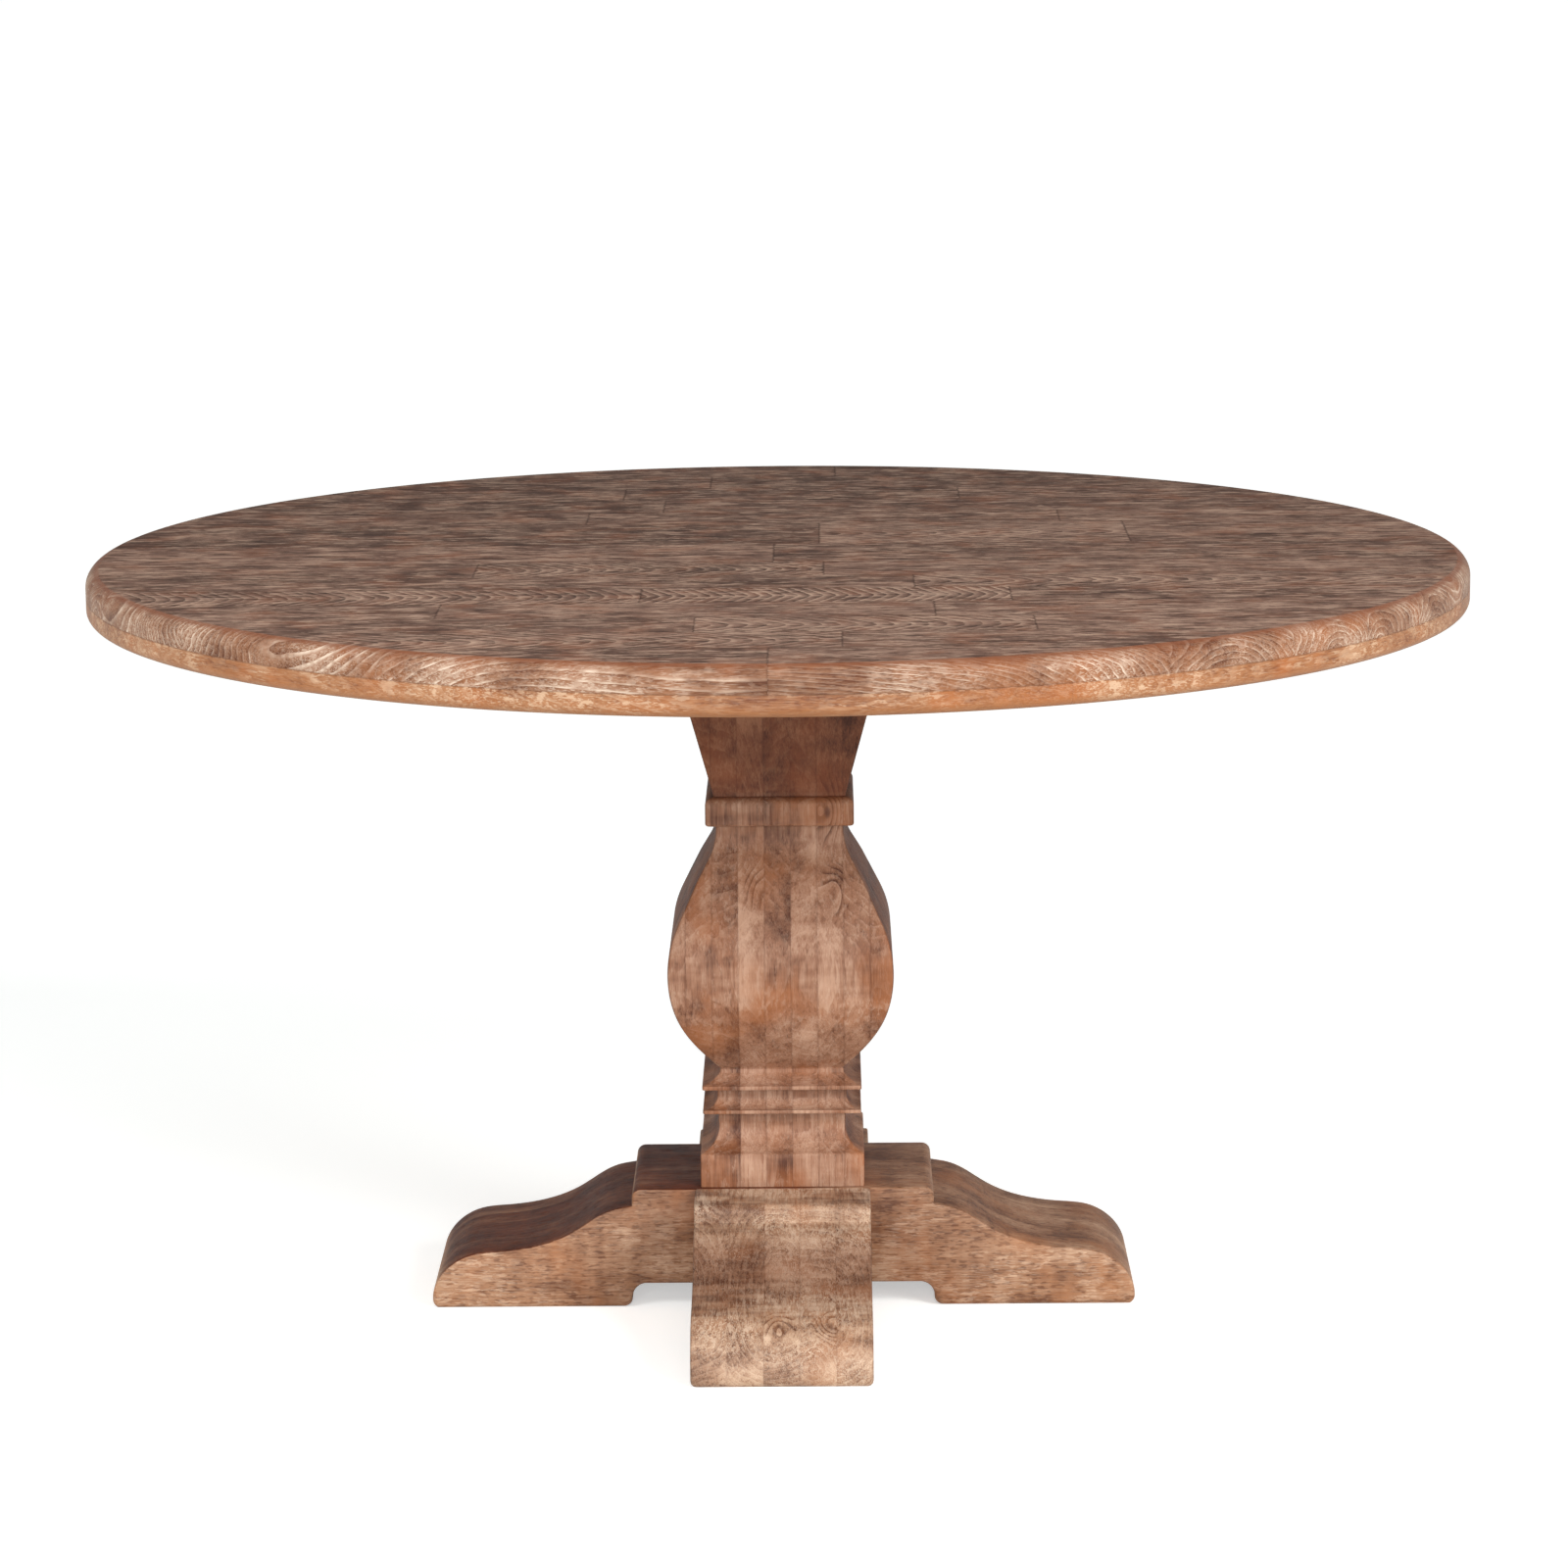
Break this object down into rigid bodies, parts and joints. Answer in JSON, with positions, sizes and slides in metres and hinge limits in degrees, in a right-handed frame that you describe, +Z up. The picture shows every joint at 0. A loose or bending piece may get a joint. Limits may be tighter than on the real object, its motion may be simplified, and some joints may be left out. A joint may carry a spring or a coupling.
{
  "type": "round pedestal table",
  "caption": "Round solid-wood dining table: glued-strip top with a built-up rim, square moulded pedestal column, and a cross base with ogee feet.",
  "frame": {"origin": "on the floor, straight under the middle of the round top", "axes": "+Z up along the column's axis; -Y to the front, and +X along the top's strips to the right seen from the front. The feet point along +X, -X, +Y and -Y."},
  "size_m": [1.38, 1.38, 0.762],
  "materials": {
    "top_wood": "satin lacquer over greyish-brown stain with pale pores",
    "edge_wood": "satin lacquer over tan wood with pale pores",
    "column_wood": "satin lacquer over reddish-brown stain",
    "base_wood": "satin lacquer over tan wood with pale pores",
    "hidden_wood": "planed, unlacquered",
    "zinc_steel": "zinc plated",
    "insert_brass": "as turned"
  },
  "bodies": {
    "root": {"base_bolts": "zinc_steel", "base_inserts": "insert_brass", "base_washers": "zinc_steel", "cleat_screws": "zinc_steel", "column_board_1": "column_wood", "column_board_2": "column_wood", "column_board_3": "column_wood", "column_board_4": "column_wood", "column_board_5": "column_wood", "column_board_6": "column_wood", "column_board_7": "column_wood", "column_board_8": "column_wood", "column_board_9": "column_wood", "edge_ring_segment_1": "edge_wood", "edge_ring_segment_2": "edge_wood", "edge_ring_segment_3": "edge_wood", "edge_ring_segment_4": "edge_wood", "edge_ring_segment_5": "edge_wood", "edge_ring_segment_6": "edge_wood", "edge_ring_segment_7": "edge_wood", "edge_ring_segment_8": "edge_wood", "front_rail_board_1": "base_wood", "front_rail_board_2": "base_wood", "front_rail_board_3": "base_wood", "front_rail_board_4": "base_wood", "front_rail_board_5": "base_wood", "pedestal_top_plate": "hidden_wood", "plate_screws": "zinc_steel", "side_rail_board_1": "base_wood", "side_rail_board_2": "base_wood", "side_rail_board_3": "base_wood", "side_rail_board_4": "base_wood", "side_rail_board_5": "base_wood", "top_bolts": "zinc_steel", "top_cleat_left": "hidden_wood", "top_cleat_right": "hidden_wood", "top_inserts": "insert_brass", "top_strip_01": "top_wood", "top_strip_02": "top_wood", "top_strip_03": "top_wood", "top_strip_04": "top_wood", "top_strip_05": "top_wood", "top_strip_06": "top_wood", "top_strip_07": "top_wood", "top_strip_08": "top_wood", "top_strip_09": "top_wood", "top_strip_10": "top_wood", "top_strip_11": "top_wood", "top_strip_12": "top_wood", "top_strip_13": "top_wood", "top_strip_14": "top_wood", "top_washers": "zinc_steel"}
  },
  "joints": []
}
